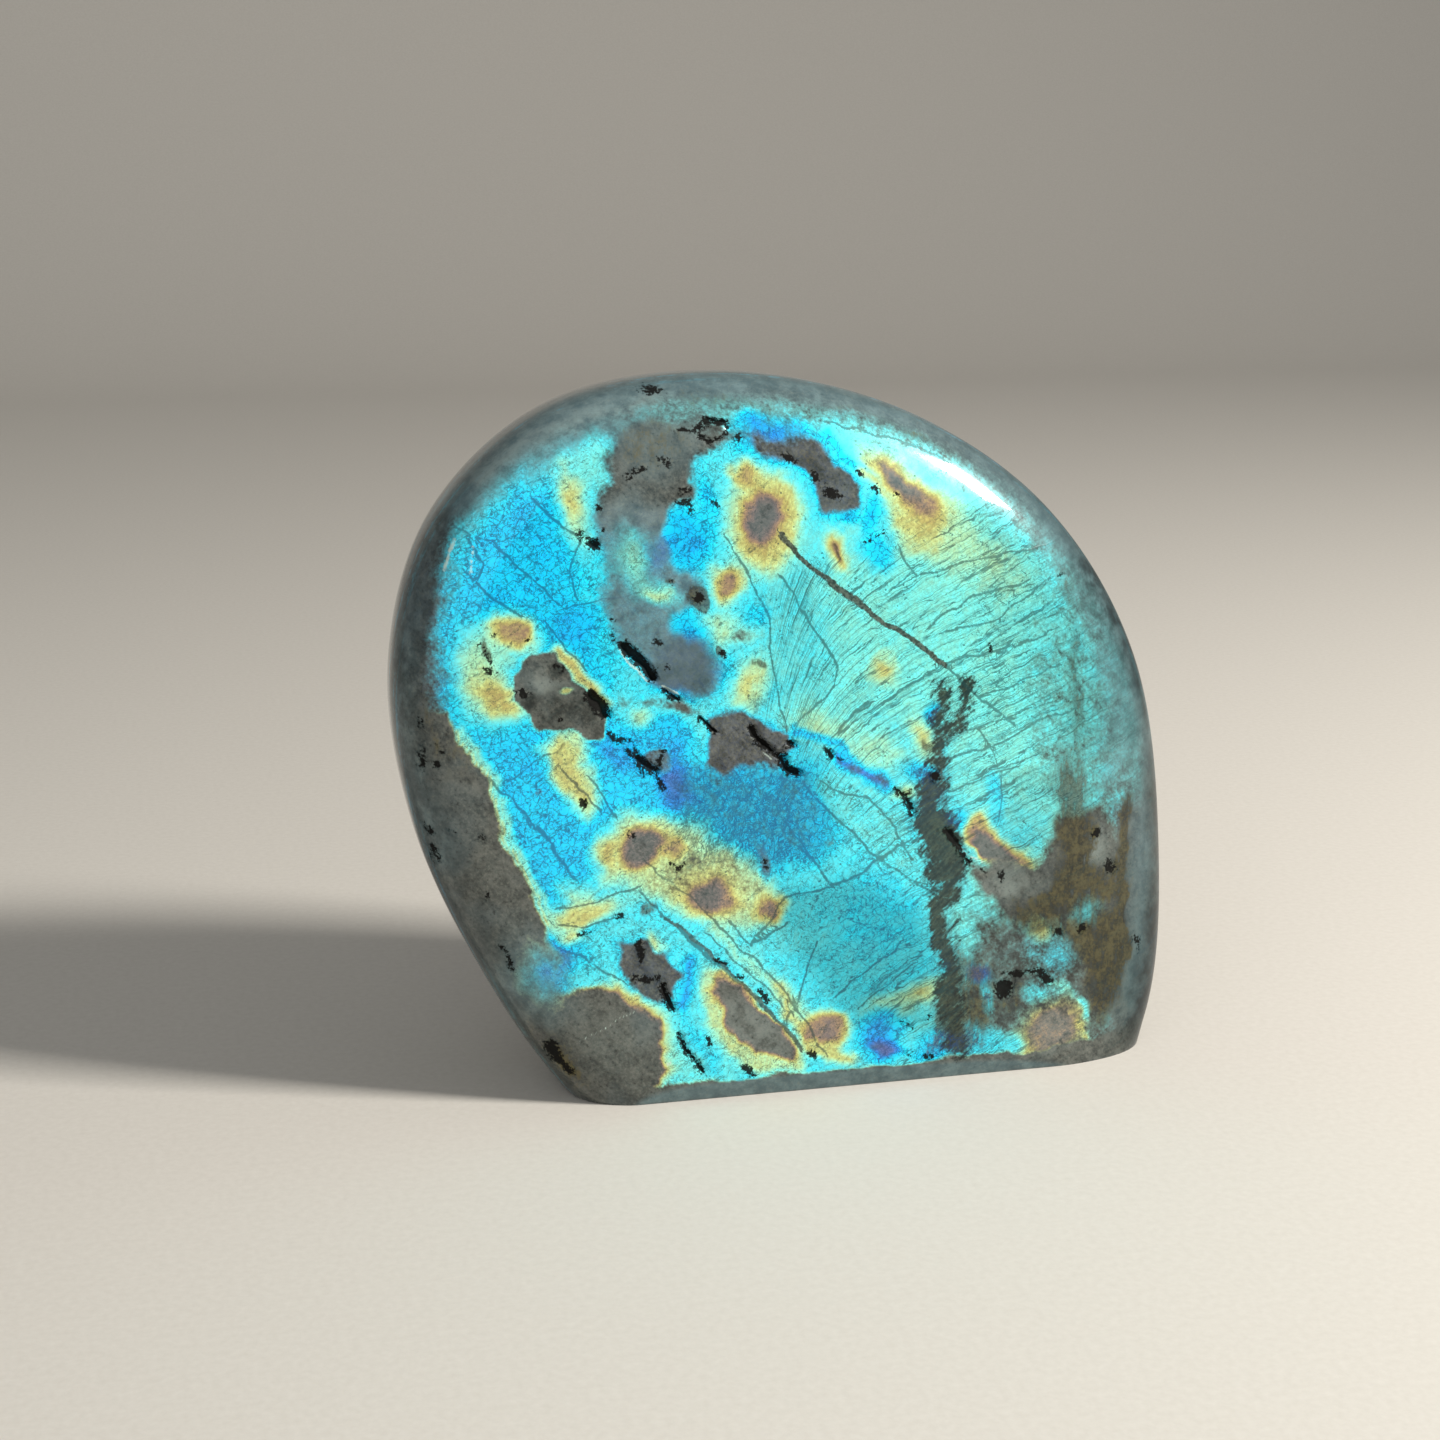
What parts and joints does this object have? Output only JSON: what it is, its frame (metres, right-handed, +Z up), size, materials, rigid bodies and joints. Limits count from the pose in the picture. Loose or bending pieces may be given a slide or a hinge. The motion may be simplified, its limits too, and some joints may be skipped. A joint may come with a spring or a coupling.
{
  "type": "polished labradorite stone",
  "caption": "Polished freeform stone with a nearly flat face, a domed back, rounded edges and a sawn flat base to stand on.",
  "frame": {"origin": "on the resting plane, below the middle of the stone's overall box", "axes": "+Z up, -Y out of the polished face, +X to the right of the face"},
  "size_m": [0.113, 0.0452, 0.1007],
  "materials": {
    "labradorite": "high polish with a blue, green and gold flash over grey"
  },
  "bodies": {
    "root": {"stone": "labradorite"}
  },
  "joints": []
}
